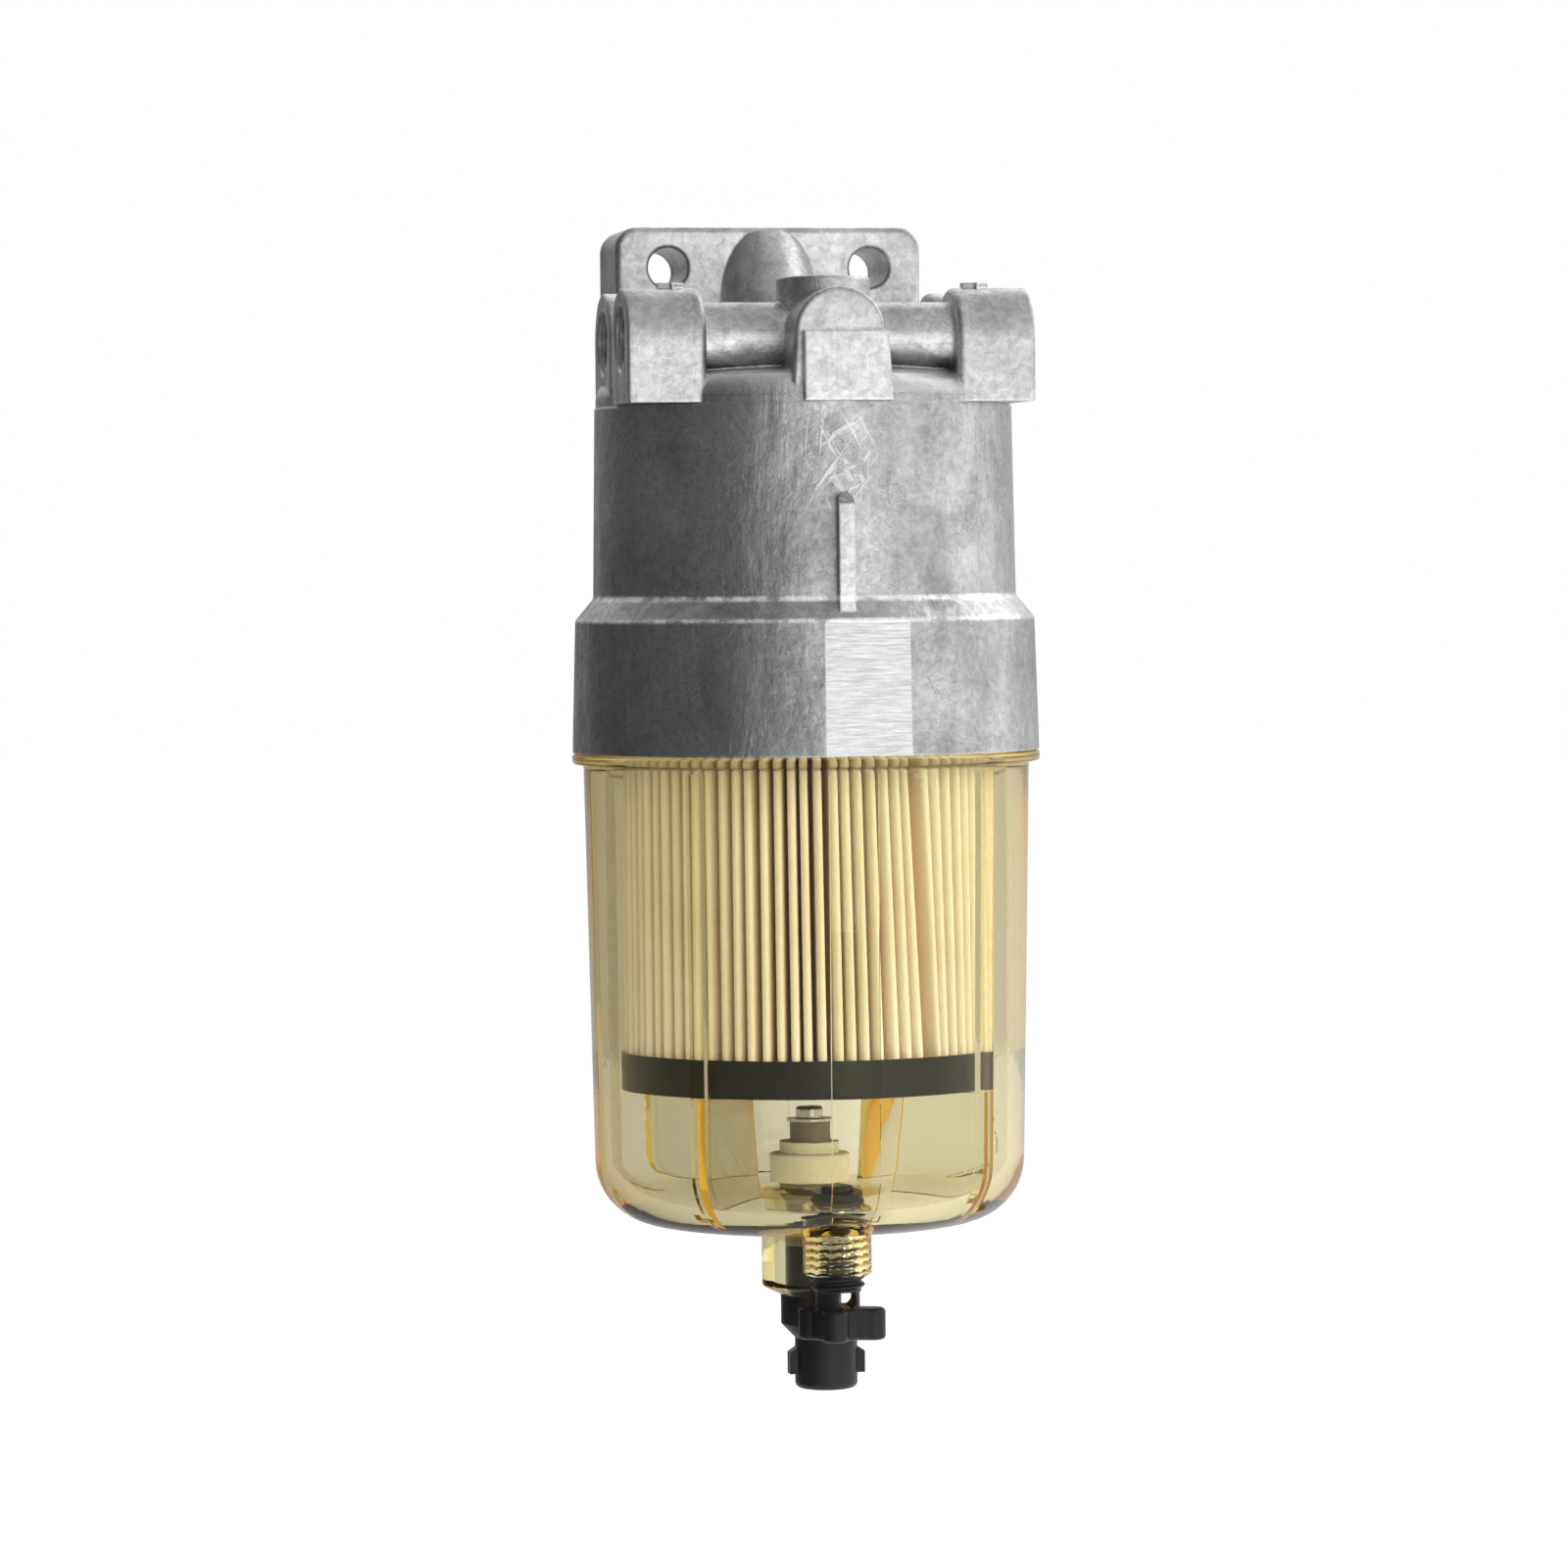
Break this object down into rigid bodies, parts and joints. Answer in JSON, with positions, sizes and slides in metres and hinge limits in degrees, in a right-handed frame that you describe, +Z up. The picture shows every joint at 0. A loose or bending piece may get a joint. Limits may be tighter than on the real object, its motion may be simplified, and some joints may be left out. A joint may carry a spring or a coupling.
{
  "type": "fuel water separator",
  "caption": "Fuel water separator: cast head on a bolt-on plate with threaded ports, clear screw-on bowl, pleated element, float switch and drain valve.",
  "frame": {"origin": "midway between the two bolt holes, on the back face of the mounting plate", "axes": "+X to the right seen from the front, +Y out of the back of the plate, +Z up along the bowl's axis"},
  "size_m": [0.1192, 0.1326, 0.2991],
  "materials": {
    "cast_aluminium": "as cast, satin",
    "clear_amber": "clear amber plastic, glossy",
    "rubber": "satin",
    "filter_paper": "matt paper",
    "black_plastic": "satin",
    "khaki_plastic": "satin",
    "cream_plastic": "matt",
    "steel": "bright",
    "magnet_steel": "matt",
    "reed_glass": "clear",
    "contact_metal": "bright"
  },
  "bodies": {
    "head": {"head_casting": "cast_aluminium", "pleated_media": "filter_paper", "element_bottom_cap": "black_plastic", "element_top_cap": "black_plastic", "element_centre_tube": "steel", "element_seal": "rubber"},
    "bowl_lift": {"bowl_seal": "rubber"},
    "bowl": {"bowl": "clear_amber", "sensor_stem": "khaki_plastic", "sensor_seal": "rubber", "sensor_clip": "steel", "stem_cap": "steel", "sensor_body": "black_plastic", "contact_pins": "contact_metal", "reed_switch": "reed_glass"},
    "float": {"float": "cream_plastic", "float_magnet": "magnet_steel"},
    "drain_lift": {"drain_seal": "rubber"},
    "drain_valve": {"drain_valve": "black_plastic", "drain_retainer": "black_plastic"}
  },
  "joints": [
    {"name": "bowl_drop", "type": "slide", "parent": "head", "child": "bowl_lift", "axis": [0, 0, -1], "range_m": [0, 0.015]},
    {"name": "bowl_unscrew", "type": "hinge", "parent": "bowl_lift", "child": "bowl", "pos_m": [0, -0.073, -0.1251], "axis": [0, 0, -1], "range_deg": [0, 1800]},
    {"name": "float_rise", "type": "slide", "parent": "bowl", "child": "float", "axis": [0, 0, 1], "range_m": [0, 0.005]},
    {"name": "drain_rise", "type": "slide", "parent": "bowl", "child": "drain_lift", "axis": [0, 0, 1], "range_m": [0, 0.0058]},
    {"name": "drain_turn", "type": "hinge", "parent": "drain_lift", "child": "drain_valve", "pos_m": [0.0009, -0.104, -0.2551], "axis": [0, 0, 1], "range_deg": [0, 1044]}
  ],
  "couplings": [
    {"joint": "bowl_drop", "follows": "bowl_unscrew", "m_per_rad": 0.00047746},
    {"joint": "drain_rise", "follows": "drain_turn", "m_per_rad": 0.00031831}
  ]
}
